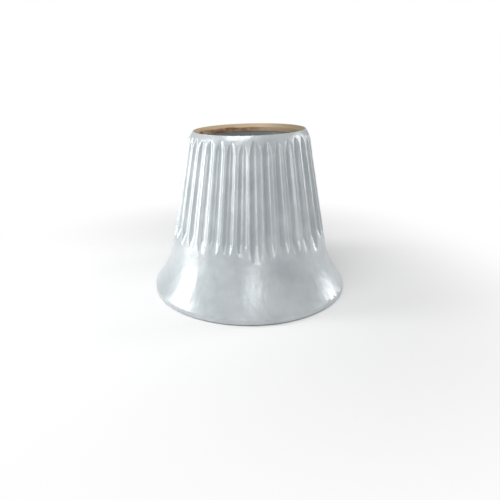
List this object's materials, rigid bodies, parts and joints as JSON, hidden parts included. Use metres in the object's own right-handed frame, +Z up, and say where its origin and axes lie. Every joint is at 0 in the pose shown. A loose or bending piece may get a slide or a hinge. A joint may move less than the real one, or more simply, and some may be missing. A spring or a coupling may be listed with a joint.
{
  "type": "cone crusher mantle",
  "caption": "Steep cone-shaped wear casting for a cone crusher, fluted outside, hollow and open at both ends, with machined seats inside and a flared base.",
  "frame": {"origin": "centre of the machined bottom face", "axes": "+Z up along the crushing axis, from the flared base to the narrow open top"},
  "size_m": [1.034, 1.034, 0.83],
  "materials": {
    "casting": "semi-gloss grey paint on a rough casting"
  },
  "bodies": {
    "root": {"mantle": "casting"}
  },
  "joints": []
}
